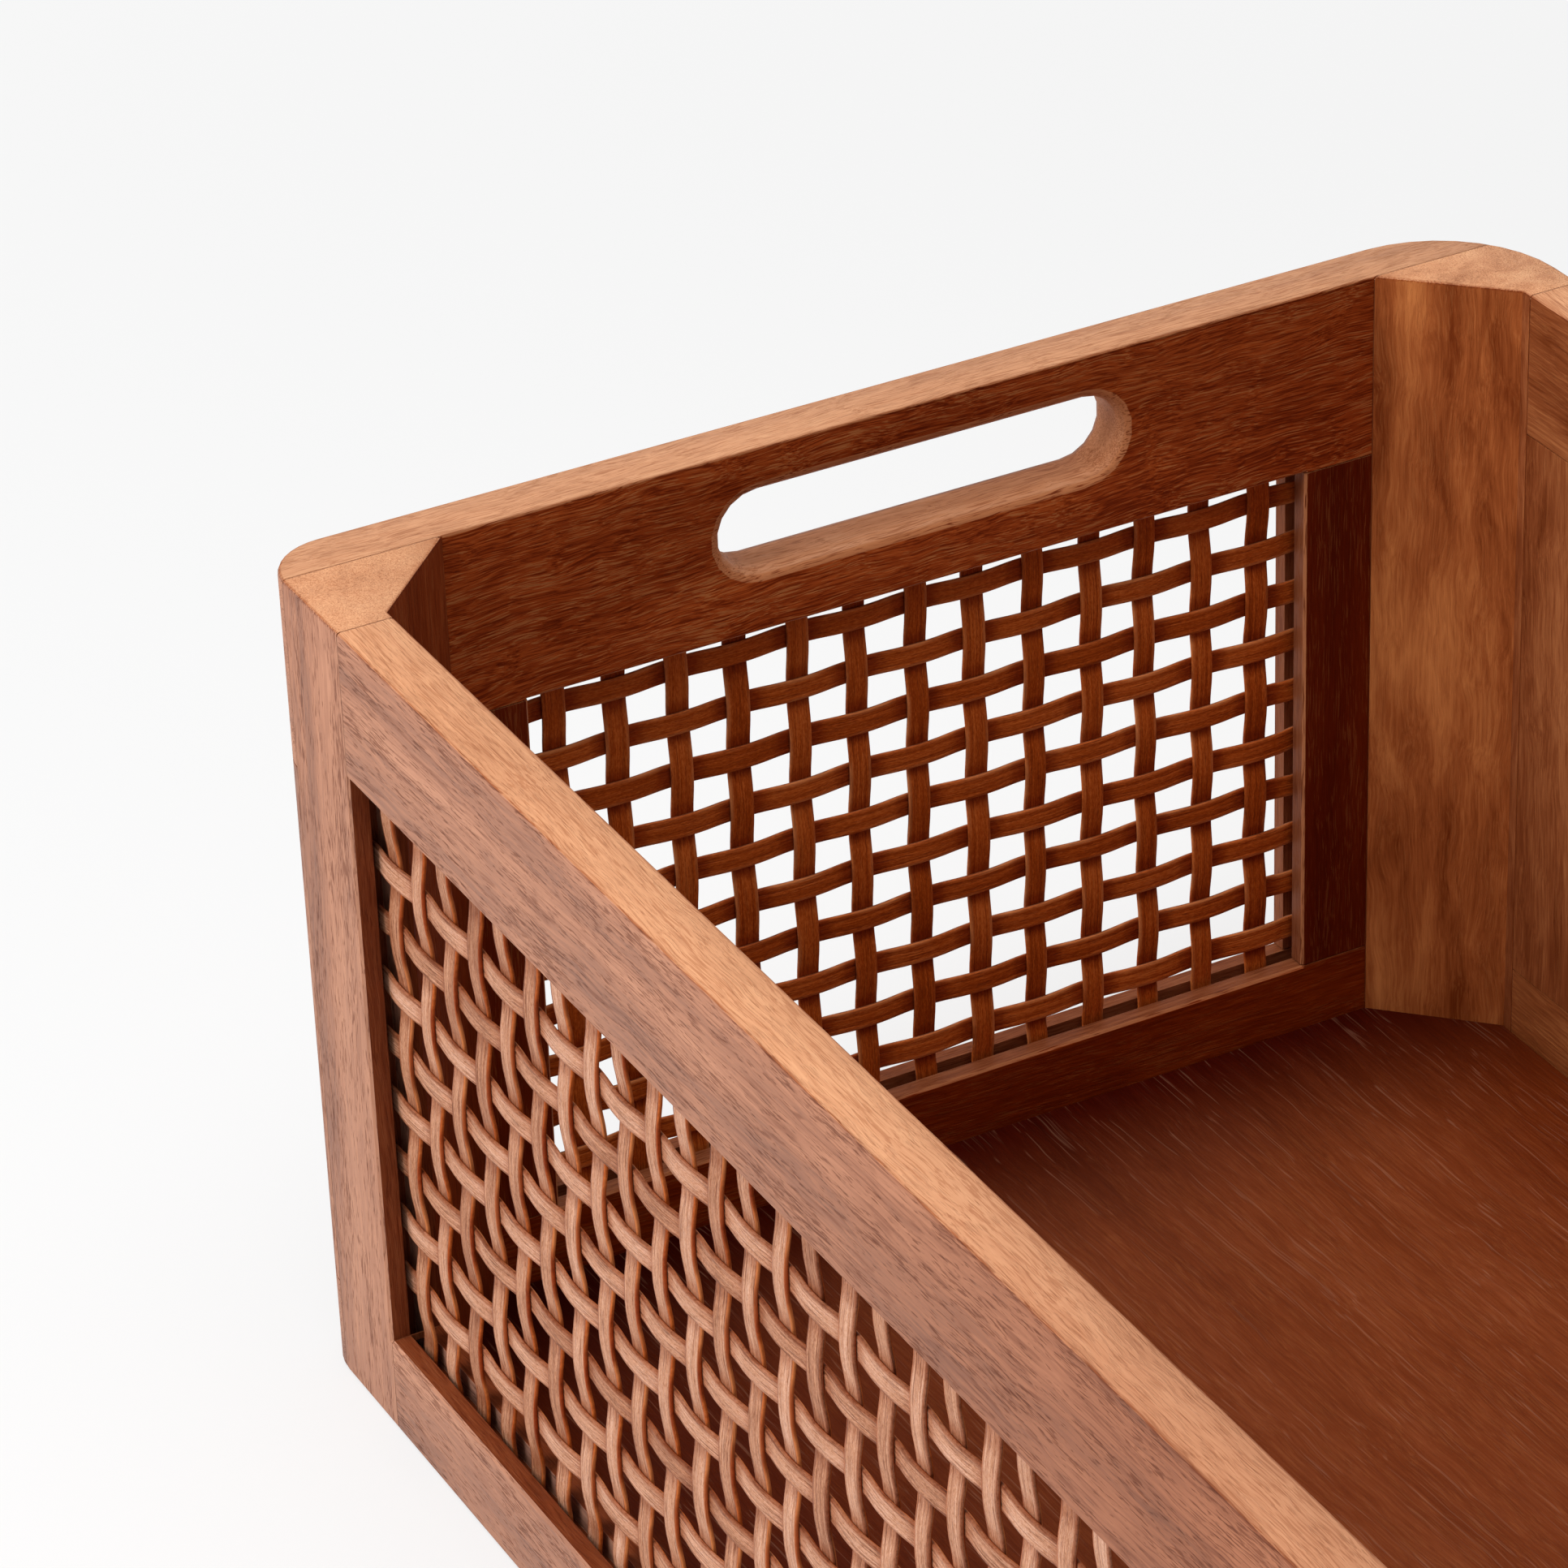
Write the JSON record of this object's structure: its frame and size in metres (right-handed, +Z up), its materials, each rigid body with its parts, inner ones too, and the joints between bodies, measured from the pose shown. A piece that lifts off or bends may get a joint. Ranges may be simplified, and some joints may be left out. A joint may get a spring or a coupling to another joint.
{
  "type": "storage crate",
  "caption": "Open rectangular storage crate with a framed wooden body, woven cane panels in the sides and ends, and a hand slot in each end.",
  "frame": {"origin": "middle of the crate's foot, on the plane it stands on", "axes": "+X along the crate's length towards one handle end, +Y across it towards the back long side, +Z up"},
  "size_m": [0.42, 0.28, 0.183],
  "materials": {
    "frame_wood": "satin oiled",
    "floor_wood": "satin oiled",
    "cane": "satin oiled",
    "dowel_wood": "matt"
  },
  "bodies": {
    "root": {"front_top_rail": "frame_wood", "front_bottom_rail": "frame_wood", "back_top_rail": "frame_wood", "back_bottom_rail": "frame_wood", "left_handle_rail": "frame_wood", "left_bottom_rail": "frame_wood", "right_handle_rail": "frame_wood", "right_bottom_rail": "frame_wood", "stile_front_left": "frame_wood", "post_front_left": "frame_wood", "dowel_front_left_low": "dowel_wood", "dowel_front_left_middle": "dowel_wood", "dowel_front_left_high": "dowel_wood", "stile_front_right": "frame_wood", "post_front_right": "frame_wood", "dowel_front_right_low": "dowel_wood", "dowel_front_right_middle": "dowel_wood", "dowel_front_right_high": "dowel_wood", "stile_back_left": "frame_wood", "post_back_left": "frame_wood", "dowel_back_left_low": "dowel_wood", "dowel_back_left_middle": "dowel_wood", "dowel_back_left_high": "dowel_wood", "stile_back_right": "frame_wood", "post_back_right": "frame_wood", "dowel_back_right_low": "dowel_wood", "dowel_back_right_middle": "dowel_wood", "dowel_back_right_high": "dowel_wood", "back_wall_stile_left": "frame_wood", "back_wall_stile_right": "frame_wood", "cane_front_warp": "cane", "cane_front_weft": "cane", "cane_back_warp": "cane", "cane_back_weft": "cane", "cane_left_warp": "cane", "cane_left_weft": "cane", "cane_right_warp": "cane", "cane_right_weft": "cane", "floor_board": "floor_wood"}
  },
  "joints": []
}
